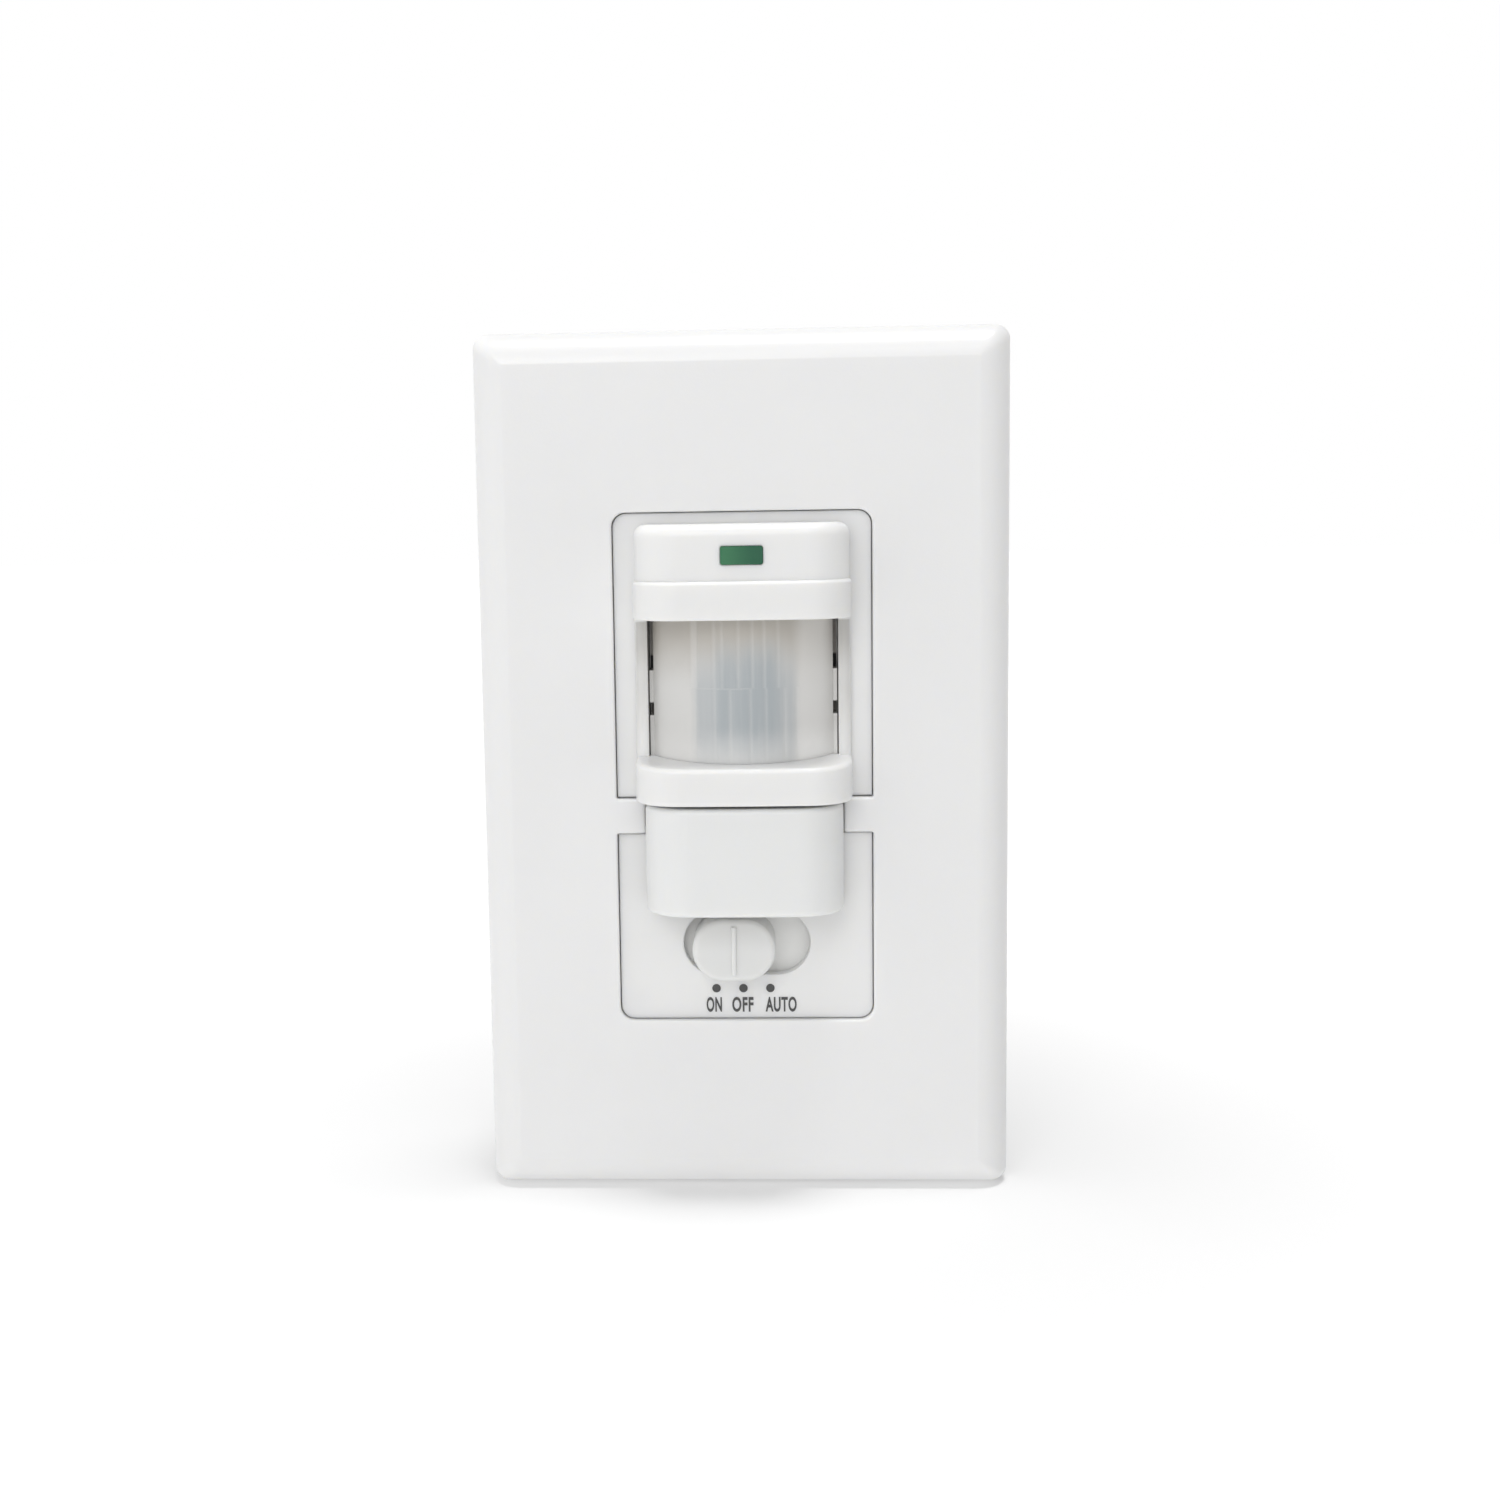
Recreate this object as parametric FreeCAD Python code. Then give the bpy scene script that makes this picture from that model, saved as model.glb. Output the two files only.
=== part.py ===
import FreeCAD, Part
import math
import os

# A wall-switch occupancy sensor with its screwless wall plate. Sizes are in millimetres.
# X runs right and Z up as seen from the front, and Y runs into the wall. The origin is on the
# wall plane, midway between the two box screws. A reach is a distance in front of the plate's face.

# wall plate
plate_width = 69.85
plate_margin = 4.15         # beyond the strap's ends
plate_depth = 6.0
plate_wall = 2.0
plate_side = 1.6            # straight part of its side, from the wall
bevel_run = 4.2
bevel_radius = 4.8
plate_mitre = 2.0           # rounding along the mitred corners
opening_corner = 1.9
opening_lip = 0.3
tab_height = 4.6
tab_wall = 1.4
tab_corner = 0.3
tab_gap = 0.2
hook_length = 8.0
hook_wall = 0.9
hook_catch = 1.2
hook_z = 30.0

# plate adapter and its screws
adapter_wall = 1.4
adapter_gap = 0.8
adapter_window_gap = 0.4
rib_inset = 2.2
rib_wall = 1.4
rib_gap = 0.2               # to the plate
plate_screw_offset = 6.75   # from the box screws
plate_screw_radius = 1.7
screw_hole_gap = 0.05
plate_screw_head_radius = 2.8
plate_screw_head_gap = 0.3  # to the plate
plate_screw_reach = 3.0     # beyond the wall plane

# mounting strap and box screws
strap_wall = 1.3
strap_body_margin = 8.0     # beyond the rear housing
strap_step = 6.0            # its ends are narrower on each side
strap_end = 4.6             # beyond the plate screws
strap_corner = 2.5
strap_shelf = 0.2           # under the lens, on each side
strap_window_corner = 1.5
strap_window_margin = 3.25  # from the panel's ends
box_screw_spacing = 83.3
box_screw_radius = 1.75
box_screw_neck_radius = 1.4
retainer_gap = 0.1          # from the retainers to the thread
box_screw_length = 19.0
box_screw_head_radius = 3.3
box_screw_head_gap = 0.7    # to the plate
box_screw_slot_width = 7.4
box_screw_room = 0.25
retainer_size = 8.0
retainer_wall = 0.4
retainer_corner = 1.5
ground_screw_radius = 1.6
ground_screw_side = 6.0     # from the strap's side
ground_screw_gap = 1.1      # from its head to the rear housing
ground_head_radius = 3.4
ground_head = 2.0
wire_gap = 1.5

# front housing: panel, pod, hood, cheeks and ledge, from the top down
panel_gap = 0.12
panel_recess = 1.0
panel_wall = 1.8
panel_rim = 1.5
head_half = 14.05
head_margin = 2.85          # from the head to the opening's side
head_reach = 8.6
head_corner = 6.0
head_bow = 0.4
head_wall = 1.5
pod_margin = 1.44
pod_height = 7.2
pod_step = 1.0
pod_inset = 0.2
pod_round = 1.5
hood_height = 4.9
hood_round = 0.4
window_height = 18.6
cheek_reach = 1.0
cheek_wall = 1.65
cheek_corner = 1.2
cheek_bow = 0.1
ledge_height = 5.1
ledge_slope = 0.1
ledge_round = 0.6
edge_round = 0.3

# lens and its frame
lens_curve = 1.282          # its radius, for each unit of its half width
lens_x = 0.0
lens_reach = 5.5
lens_wall = 0.7
lens_gap = 0.2
lens_seat = 1.5             # how far it stands into the ledge and the hood
slit_width = 0.7            # from the lens to the cheek
slit_gap = 0.15
slit_drop = 0.3             # from the plate's face to the wing that closes a slit
long_slit = 6.9
short_slit = 1.7
short_slit_drop = 11.1
frame_wall = 1.0
frame_flange = 1.3          # between the strap and the lens
frame_depth = 2.6
frame_gap = 0.1

# green window and its lamp
led_x = 0.1
led_width = 5.35
led_height = 2.3
led_drop = 3.95             # from the pod's top to its centre
led_corner = 0.3
led_proud = 0.15
led_gap = 0.04
pipe_flange = 0.9
pipe_width = 3.0
pipe_height = 2.0
lamp_radius = 1.5
lamp_rim = 0.4
lamp_rim_height = 1.0
lamp_height = 4.5
lamp_round = 1.2

# swing-away cover, and the boss and ears that carry it
cover_gap = 0.45
cover_inset = 1.15          # from the head's side
cover_step = 0.4            # back from the head's front
cover_height = 14.1
cover_wall = 1.2
cover_round = 0.7
rear_gap = 0.3
knuckle_radius = 1.4
knuckle_reach = 1.7
knuckle_half = 4.15
ear_wall = 1.2
ear_radius = 1.3
ear_gap = 0.3
hinge_pin_radius = 0.7
hinge_gap = 0.06
boss_reach = 4.6
boss_gap = 0.7
boss_left_gap = 0.6         # between the knuckle and the boss
boss_wall = 1.3
boss_corner = 1.0

# adjustment dials and their trimmers
dial_between = 0.6
dial_side_gap = 0.25
dial_lip = 0.3              # flange outside the dial
dial_proud = 0.6
dial_gap = 0.1
dial_flange = 0.8
dial_shaft_radius = 1.0
dial_shaft_gap = 0.05
dial_slot = 0.8
trimmer_gap = 0.4
trimmer_height = 4.0
trimmer_floor = 1.0

# slide switch
slot_x = 0.1
slot_margin = 0.9
slot_height = 8.7
label_room = 5.89           # below the slot
switch_step = 1.65
knob_width = 10.9
knob_margin = 1.35          # from the knob's end stops to the slot's ends
knob_gap = 0.25
knob_reach = 4.0
knob_round = 0.7
ridge_width = 0.6
ridge_height = 6.4
ridge_proud = 0.35
stem_width = 5.0
stem_height = 4.0
stem_length = 4.0
stem_gap = 0.05
shutter_gap = 0.2
shutter_wall = 0.8
shutter_margin = 0.8
shutter_height_margin = 1.0
shutter_corner = 1.5
guide_gap = 0.15
guide_wall = 1.0
lever_size = 2.0
lever_play = 0.1
lever_overlap = 1.6
slider_width = 5.6
slider_height = 3.2
slider_wall = 1.2
switch_play = 0.2
switch_wall = 1.2
switch_height = 5.0

# rear housing
housing_width = 42.0
housing_inset = 0.25        # from the panel's ends
housing_depth = 30.0
housing_wall = 1.8
housing_corner = 2.5
housing_screw_side = 2.3    # from the panel's sides
housing_screw_end = 2.85    # from the panel's ends
housing_screw_radius = 1.2
housing_screw_gap = 0.2
housing_head_radius = 2.3
housing_head = 1.8
head_recess = 2.2
recess_gap = 0.2
column_radius = 3.2
post_radius = 2.1
post_skin = 0.8
thread_gap = 0.02

# wire terminals on the side of the rear housing
terminal_spacing = 20.0
pocket_gap = 0.3            # to the sensor board
pocket_size = 9.0
pocket_depth = 3.0
pocket_wall = 1.6
terminal_size = 7.6
terminal_wall = 0.8
terminal_gap = 1.6
terminal_head = 1.8
terminal_head_radius = 3.3
terminal_screw_radius = 1.6
terminal_screw_gap = 0.05
screw_bite = 1.2            # length of thread in the housing's wall

# boards and what they carry
sensor_board_y = 8.0
board_wall = 1.6
board_gap = 0.4
board_end_gap = 0.7
board_notch_gap = 0.4
power_board_end_gap = 4.2
detector_radius = 4.1
detector_rim_radius = 4.6
detector_rim = 0.5
detector_height = 4.2
detector_window = (3.0, 4.0)
photocell_radius = 1.8
photocell_height = 1.8
photocell_x = 8.0
photocell_rise = 1.8        # above the ledge
sheet_wall = 0.4
sheet_bridge = 5.0          # film left above its window, in the strap's window
sheet_gap = 1.0
spacer_radius = 2.2
spacer_side = 3.7           # from the rear housing's walls
spacer_end = 7.7
header_width = 15.2
header_height = 2.5
header_inset = 2.0
pad_size = 3.0
pad_height = 2.0
relay_size = (15.0, 18.6)
relay_side = 3.0            # from the board's side
relay_end = 0.8             # from the spacer
relay_gap = 1.4             # to the sensor board
film_size = (13.0, 6.5)
film_side = 3.8
film_end = 3.05
film_gap = 3.5
filter_x, filter_z = 5.5, -14.0
filter_radius = 5.0
filter_gap = 2.5
varistor_x, varistor_z = 4.0, 0.5
varistor_radius = 4.5
varistor_wall = 3.6
component_round = 1.0

screw_slot_width = 0.8
screw_slot_depth = 0.6
overrun = 1.0               # how far a cutter passes a face
near = 0.01

# places worked out from the sizes
panel_height = (pod_margin + pod_height + hood_height + window_height + ledge_height + cover_gap
                + cover_height + slot_margin + slot_height + label_room)
opening_height = panel_height + 2 * panel_gap
opening_width = 2 * (head_half + head_margin)
panel_width = opening_width - 2 * panel_gap
housing_height = panel_height - 2 * housing_inset
inner_width = housing_width - 2 * housing_wall
inner_height = housing_height - 2 * housing_wall
housing_screw_x = panel_width / 2 - housing_screw_side
housing_screw_z = panel_height / 2 - housing_screw_end
strap_width = housing_width
plate_screw_spacing = box_screw_spacing + 2 * plate_screw_offset
strap_height = plate_screw_spacing + 2 * strap_end
plate_height = strap_height + 2 * plate_margin
strap_body_height = housing_height + 2 * strap_body_margin
face_y = -plate_depth
panel_y = face_y + panel_recess
panel_back = panel_y + panel_wall
strap_y = -strap_wall
adapter_y = strap_y - adapter_wall
plate_inside = face_y + plate_wall
panel_corner = opening_corner - panel_gap
pod_top = panel_height / 2 - pod_margin
hood_top = pod_top - pod_height
hood_bottom = hood_top - hood_height
ledge_top = hood_bottom - window_height
ledge_bottom = ledge_top - ledge_height
cover_top = ledge_bottom - cover_gap
cover_bottom = cover_top - cover_height
cover_z = (cover_top + cover_bottom) / 2
slot_z = cover_bottom - slot_margin - slot_height / 2
tab_top = ledge_bottom - tab_gap
tab_bottom = tab_top - tab_height
cover_half = head_half - cover_inset
cover_reach = head_reach - cover_step
tab_end = cover_half + tab_gap
lens_half = head_half - cheek_wall - slit_width
strap_window_width = 2 * (lens_half - strap_shelf)
lens_radius = lens_curve * lens_half
lens_center_y = face_y - lens_reach + lens_radius
lens_back = strap_y - frame_flange
lens_bottom = ledge_top - lens_seat
lens_top = hood_bottom + lens_seat
lens_z = (lens_bottom + lens_top) / 2
hinge_x = knuckle_radius - cover_half
hinge_y = face_y - knuckle_reach
boss_left = hinge_x + knuckle_radius + boss_left_gap
boss_right = cover_half - cover_wall - boss_gap
boss_x = (boss_left + boss_right) / 2
boss_top = cover_top - cover_wall - ear_gap
boss_bottom = cover_bottom + cover_wall + ear_gap
boss_front = face_y - boss_reach
boss_room = boss_right - boss_left - 2 * boss_wall
dial_flange_radius = (boss_room - 2 * dial_between - 2 * dial_side_gap) / 6
dial_pitch = 2 * dial_flange_radius + dial_between
dial_radius = dial_flange_radius - dial_lip
trimmer_size = dial_pitch - trimmer_gap
slot_width = knob_width + 2 * switch_step + 2 * knob_margin
knob_x = slot_x - switch_step
shutter_y = panel_back + shutter_gap
strap_window_height = panel_height - 2 * strap_window_margin
terminal_x = housing_width / 2 - pocket_depth
sensor_board_back = sensor_board_y + board_wall
power_board_y = housing_depth - housing_wall - pad_height - board_wall
power_board_height = inner_height - 2 * power_board_end_gap
board_half = inner_width / 2 - board_gap
spacer_x = inner_width / 2 - spacer_side
spacer_z = inner_height / 2 - spacer_end
terminal_y = sensor_board_back + pocket_gap + pocket_wall + pocket_size / 2


def box(x, y, z):
    return Part.makeBox(x[1] - x[0], y[1] - y[0], z[1] - z[0], FreeCAD.Vector(x[0], y[0], z[0]))


def block(width, height, y, x=0.0, z=0.0):
    return box((x - width / 2, x + width / 2), y, (z - height / 2, z + height / 2))


def rod(radius, y, x=0.0, z=0.0):
    return Part.makeCylinder(radius, y[1] - y[0], FreeCAD.Vector(x, y[0], z), FreeCAD.Vector(0, 1, 0))


def upright(radius, z, x, y):
    return Part.makeCylinder(radius, z[1] - z[0], FreeCAD.Vector(x, y, z[0]), FreeCAD.Vector(0, 0, 1))


def crossbar(radius, x, y, z):
    return Part.makeCylinder(radius, x[1] - x[0], FreeCAD.Vector(x[0], y, z), FreeCAD.Vector(1, 0, 0))


def one(shape):
    shape = shape.removeSplitter()
    return shape.Solids[0] if len(shape.Solids) == 1 else shape


def join(*shapes):
    return one(shapes[0].fuse(list(shapes[1:])))


def cut(shape, *tools):
    return one(shape.cut(list(tools)))


def round_edges(shape, radius, chosen):
    return shape.makeFillet(radius, [edge for edge in shape.Edges if chosen(edge.BoundBox)])


def level(low, high, value):
    return abs(low - value) < near and abs(high - value) < near


def along_y(bound):
    return bound.XLength < near and bound.ZLength < near


def along_z(bound):
    return bound.XLength < near and bound.YLength < near


def at_y(value):
    return lambda bound: level(bound.YMin, bound.YMax, value)


def at_z(value):
    return lambda bound: level(bound.ZMin, bound.ZMax, value)


def slab(width, height, corner, y, x=0.0, z=0.0):
    return round_edges(block(width, height, y, x, z), corner, along_y)


def stadium(width, height, y, x=0.0, z=0.0):
    reach = (width - height) / 2
    ends = [rod(height / 2, y, x + side * reach, z) for side in (-1, 1)]
    return join(block(2 * reach, height, y, x, z), *ends)


def four(x, z):
    return [(side * x, end * z) for side in (-1, 1) for end in (-1, 1)]


def hexagon(radius, y, x, z):
    corners = []
    for turn in range(7):
        angle = turn * math.pi / 3
        corners.append(FreeCAD.Vector(x + radius * math.cos(angle), y[0], z + radius * math.sin(angle)))
    return Part.Face(Part.makePolygon(corners)).extrude(FreeCAD.Vector(0, y[1] - y[0], 0))


def outline_prism(edges, z):
    face = Part.Face(Part.Wire(Part.__sortEdges__(edges)))
    return face.extrude(FreeCAD.Vector(0, 0, z[1] - z[0])).translated(FreeCAD.Vector(0, 0, z[0]))


def line(start, end):
    return Part.LineSegment(FreeCAD.Vector(*start, 0), FreeCAD.Vector(*end, 0)).toShape()


def arc(start, middle, end):
    return Part.Arc(*(FreeCAD.Vector(*point, 0) for point in (start, middle, end))).toShape()


# A bar along Z with flat sides, bevels that are arcs, and a flat front.
def bevelled_bar(width, length, depth, run, radius):
    half, drop = width / 2, depth - plate_side
    chord = math.hypot(run, drop)
    rise = radius - math.sqrt(radius ** 2 - (chord / 2) ** 2)
    middle = (half - run / 2 + rise * drop / chord, -plate_side - drop / 2 - rise * run / chord)
    edges = [line((-half, 0), (half, 0)), line((run - half, -depth), (half - run, -depth))]
    for side in (-1, 1):
        edges.append(line((side * half, 0), (side * half, -plate_side)))
        start, end = (side * half, -plate_side), (side * (half - run), -depth)
        edges.append(arc(start, (side * middle[0], middle[1]), end))
    return outline_prism(edges, (-length / 2, length / 2))


# The plate's outer form, or its hollow: two bars crossed, so that the bevels meet in mitres.
def pillow(width, height, depth, run, radius):
    tall = bevelled_bar(width, height, depth, run, radius)
    wide = bevelled_bar(height, width, depth, run, radius)
    wide.rotate(FreeCAD.Vector(0, 0, 0), FreeCAD.Vector(0, 1, 0), 90)
    return one(tall.common(wide))


def plate_opening():
    top, bottom = opening_height / 2, -opening_height / 2
    y = (face_y - overrun, overrun)
    windows = []
    for low, high in ((tab_top, top), (bottom, tab_bottom)):
        window = block(opening_width, high - low, y, 0, (low + high) / 2)
        outer = high if high == top else low

        def is_outer(bound, outer=outer):
            return along_y(bound) and abs(bound.ZMin - outer) < near

        def is_inner(bound, outer=outer):
            return along_y(bound) and abs(bound.ZMin - outer) >= opening_corner

        window = round_edges(window, opening_corner, is_outer)
        windows.append(round_edges(window, tab_corner, is_inner))
    neck_height = tab_height + 2 * tab_corner + 2 * overrun
    neck = block(2 * tab_end, neck_height, y, 0, (tab_top + tab_bottom) / 2)
    shape = join(windows[0], windows[1], neck)

    def at_tab_end(bound):
        return along_y(bound) and level(abs(bound.XMin), abs(bound.XMax), tab_end)

    return round_edges(shape, tab_corner, at_tab_end)


def plate_hooks():
    inner = plate_width / 2 - plate_wall
    adapter_half = inner - adapter_gap
    catch_y = strap_y
    hooks = []
    for side in (-1, 1):
        wall = sorted((side * (adapter_half + tab_gap), side * (inner + overrun / 2)))
        barb = sorted((side * (adapter_half - hook_catch), side * (inner + overrun / 2)))
        for z in (-hook_z, hook_z):
            length = (z - hook_length / 2, z + hook_length / 2)
            hooks.append(box(wall, (face_y + plate_wall - overrun / 2, catch_y + hook_wall), length))
            hooks.append(box(barb, (catch_y, catch_y + hook_wall), length))
    return hooks


def wall_plate():
    outer = pillow(plate_width, plate_height, plate_depth, bevel_run, bevel_radius)

    def is_mitre(bound):
        return level(bound.XLength, bound.ZLength, bound.XLength) and bound.YLength > near

    outer = round_edges(outer, plate_mitre, is_mitre)
    width, height = plate_width - 2 * plate_wall, plate_height - 2 * plate_wall
    depth = plate_depth - plate_wall
    run = bevel_run * (depth - plate_side) / (plate_depth - plate_side)
    hollow = pillow(width, height, depth, run, bevel_radius - plate_wall)
    tab_back = block(opening_width + 2 * overrun, tab_height + 2 * overrun,
                     (face_y + tab_wall, face_y + plate_wall), 0, (tab_top + tab_bottom) / 2)
    shell = cut(outer, hollow, plate_opening(), tab_back)
    shell = join(shell, *[hook.common(outer) for hook in plate_hooks()])

    def is_lip(bound):
        inside = max(abs(bound.XMin), abs(bound.XMax)) < opening_width / 2 + near
        return inside and at_y(face_y)(bound) and bound.ZMax < opening_height / 2 + near

    return round_edges(shell, opening_lip, is_lip)


def plate_adapter():
    width = plate_width - 2 * plate_wall
    height = plate_height - 2 * plate_wall
    sheet = slab(width - 2 * adapter_gap, height - 2 * adapter_gap, panel_corner,
                 (adapter_y, strap_y))
    rib_width, rib_length = width - 2 * rib_inset, height - 2 * rib_inset
    rib_y = (plate_inside + rib_gap, adapter_y)
    rib = cut(block(rib_width, rib_length, rib_y),
              block(rib_width - 2 * rib_wall, rib_length - 2 * rib_wall, rib_y))
    y = (adapter_y - overrun, strap_y + overrun)
    window = slab(panel_width + 2 * adapter_window_gap, panel_height + 2 * adapter_window_gap,
                  panel_corner, y)
    holes = []
    for side in (-1, 1):
        head = box_screw_head_radius + adapter_gap
        holes.append(rod(head, y, 0, side * box_screw_spacing / 2))
        shank = plate_screw_radius + box_screw_room
        holes.append(rod(shank, y, 0, side * plate_screw_spacing / 2))
    return cut(join(sheet, rib), window, *holes)


def slotted(screw, radius, y, x=0.0, z=0.0):
    slot = block(2 * radius + overrun, screw_slot_width, (y - overrun, y + screw_slot_depth), x, z)
    return cut(screw, slot)


def adapter_screws():
    screws = []
    for side in (-1, 1):
        z = side * plate_screw_spacing / 2
        top = plate_inside + plate_screw_head_gap
        head = rod(plate_screw_head_radius, (top, adapter_y), 0, z)
        head = round_edges(head, (adapter_y - top) / 2, at_y(top))
        shank = rod(plate_screw_radius, (adapter_y, plate_screw_reach), 0, z)
        screws.append(slotted(join(head, shank), plate_screw_head_radius, top, 0, z))
    return Part.makeCompound(screws)


def strap_window(y):
    return slab(strap_window_width, strap_window_height, strap_window_corner, y)


def ground_place():
    return ground_screw_side - strap_width / 2, -housing_height / 2 - ground_screw_gap - ground_head_radius


def mounting_strap():
    y = (strap_y, 0)
    ends = block(strap_width - 2 * strap_step, strap_height, y)
    strap = join(block(strap_width, strap_body_height, y), ends)
    strap = round_edges(strap, strap_corner, along_y)
    through = (strap_y - overrun, overrun)
    holes = [strap_window(through)]
    for side in (-1, 1):
        width = 2 * (box_screw_radius + box_screw_room)
        holes.append(stadium(box_screw_slot_width, width, through, 0, side * box_screw_spacing / 2))
        holes.append(rod(plate_screw_radius + screw_hole_gap, through, 0, side * plate_screw_spacing / 2))
    for x, z in four(housing_screw_x, housing_screw_z):
        holes.append(rod(housing_screw_radius + housing_screw_gap, through, x, z))
    x, z = ground_place()
    holes.append(rod(ground_screw_radius + terminal_screw_gap, through, x, z))
    return cut(strap, *holes)


def box_screws():
    screws = []
    for side in (-1, 1):
        z = side * box_screw_spacing / 2
        top = plate_inside + box_screw_head_gap
        head = rod(box_screw_head_radius, (top, strap_y), 0, z)
        head = round_edges(head, (strap_y - top) / 2, at_y(top))
        neck = rod(box_screw_neck_radius, (strap_y, retainer_wall + retainer_gap), 0, z)
        thread = rod(box_screw_radius, (retainer_wall + retainer_gap, box_screw_length), 0, z)
        thread = thread.makeChamfer(screw_slot_depth, [e for e in thread.Edges
                                                       if at_y(box_screw_length)(e.BoundBox)])
        screws.append(slotted(join(head, neck, thread), box_screw_head_radius, top, 0, z))
    return Part.makeCompound(screws)


def screw_retainers():
    y = (0, retainer_wall)
    washers = []
    for side in (-1, 1):
        z = side * box_screw_spacing / 2
        hole = rod(box_screw_neck_radius + thread_gap, (y[0] - overrun, y[1] + overrun), 0, z)
        washers.append(cut(slab(retainer_size, retainer_size, retainer_corner, y, 0, z), hole))
    return Part.makeCompound(washers)


def ground_screw():
    x, z = ground_place()
    head_y = (wire_gap, wire_gap + ground_head)
    head = hexagon(ground_head_radius, head_y, x, z)
    shank = rod(ground_screw_radius, (strap_y, head_y[0]), x, z)
    slot = block(2 * ground_head_radius + overrun, screw_slot_width,
                 (head_y[1] - screw_slot_depth, head_y[1] + overrun), x, z)
    return cut(join(head, shank), slot)


# A block with a bowed front and rounded front corners, as seen from above.
def bowed_prism(half, back, front, corner, bow, z):
    edges = [line((-half, back), (half, back)), arc((-half, front + bow), (0, front), (half, front + bow))]
    edges += [line((side * half, back), (side * half, front + bow)) for side in (-1, 1)]
    shape = outline_prism(edges, z)

    def is_front(bound):
        return along_z(bound) and abs(bound.YMin - front - bow) < near

    return round_edges(shape, corner, is_front)


def pod():
    shape = bowed_prism(head_half - pod_inset, strap_y, face_y - head_reach + pod_step,
                        head_corner - pod_step / 2, head_bow, (hood_top - overrun, pod_top))
    front = lambda bound: at_z(pod_top)(bound) and bound.YMin < strap_y - near
    return round_edges(shape, pod_round, front)


def pod_hollow():
    return bowed_prism(head_half - head_wall - pod_inset, strap_y + overrun,
                       face_y - head_reach + pod_step + head_wall, head_corner - head_wall,
                       head_bow, (lens_top + lens_gap + head_wall, pod_top - head_wall))


def hood():
    shape = bowed_prism(head_half, strap_y, face_y - head_reach, head_corner, head_bow,
                        (hood_bottom, hood_top))
    top = lambda bound: at_z(hood_top)(bound) and bound.YMin < strap_y - near
    bottom = lambda bound: at_z(hood_bottom)(bound) and bound.YMin < strap_y - near
    return round_edges(round_edges(shape, hood_round, top), edge_round, bottom)


# The ledge's top falls towards the front, so that the lens can see down.
def ledge():
    crown = face_y - lens_reach
    front, back = face_y - head_reach, strap_y
    heights = [ledge_top + ledge_slope * (y - crown) for y in (front, back)]
    top = bowed_prism(head_half, back, front, head_corner, head_bow, (ledge_bottom, max(heights)))
    corners = [(front - overrun, ledge_bottom), (back, ledge_bottom), (back, heights[1]),
               (front - overrun, heights[0] - ledge_slope * overrun)]
    side = Part.makePolygon([FreeCAD.Vector(-head_half, y, z) for y, z in corners + corners[:1]])
    wedge = Part.Face(side).extrude(FreeCAD.Vector(2 * head_half, 0, 0))
    shape = one(top.common(wedge))

    def is_rim(bound):
        middle = (bound.YMin + bound.YMax) / 2
        height = ledge_top + ledge_slope * (middle - crown)
        upper = abs((bound.ZMin + bound.ZMax) / 2 - height) < edge_round and bound.ZMin > ledge_bottom + near
        return upper and not along_z(bound) and bound.YMin < strap_y - near

    shape = round_edges(shape, ledge_round, is_rim)
    bottom = lambda bound: at_z(ledge_bottom)(bound) and bound.YMin < strap_y - near
    return round_edges(shape, edge_round, bottom)


# Where the ledge's slope meets the plane of the plate's face.
def cheek_bottom():
    return ledge_top + ledge_slope * lens_reach


def head_solid():
    cheeks = bowed_prism(head_half, strap_y, face_y - cheek_reach, cheek_corner, cheek_bow,
                         (ledge_bottom + ledge_height / 2, hood_top - hood_height / 2))
    return [pod(), hood(), cheeks, ledge()]


def lens_prism(radius, half, back, z):
    front = lens_center_y - radius
    side_y = lens_center_y - math.sqrt(radius ** 2 - half ** 2)
    edges = [line((-half, back), (half, back)), arc((-half, side_y), (0, front), (half, side_y))]
    edges += [line((side * half, back), (side * half, side_y)) for side in (-1, 1)]
    return outline_prism(edges, z).translated(FreeCAD.Vector(lens_x, 0, 0))


def boss():
    shape = box((boss_left, boss_right), (boss_front, strap_y), (boss_bottom, boss_top))
    is_front = lambda bound: along_z(bound) and abs(bound.YMin - boss_front) < near
    return round_edges(shape, boss_corner, is_front)


def ears():
    shapes = []
    for low in (boss_bottom, boss_top - ear_wall):
        z = (low, low + ear_wall)
        arm = box((hinge_x, boss_left + boss_wall), (hinge_y - ear_radius, hinge_y + ear_radius), z)
        shapes.append(join(arm, upright(ear_radius, z, hinge_x, hinge_y)))
    return shapes


def dial_places():
    return [boss_x + step * dial_pitch for step in (-1, 0, 1)]


def shutter_size():
    width = slot_width + 2 * switch_step + 2 * shutter_margin
    return width, slot_height + 2 * shutter_height_margin


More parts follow.
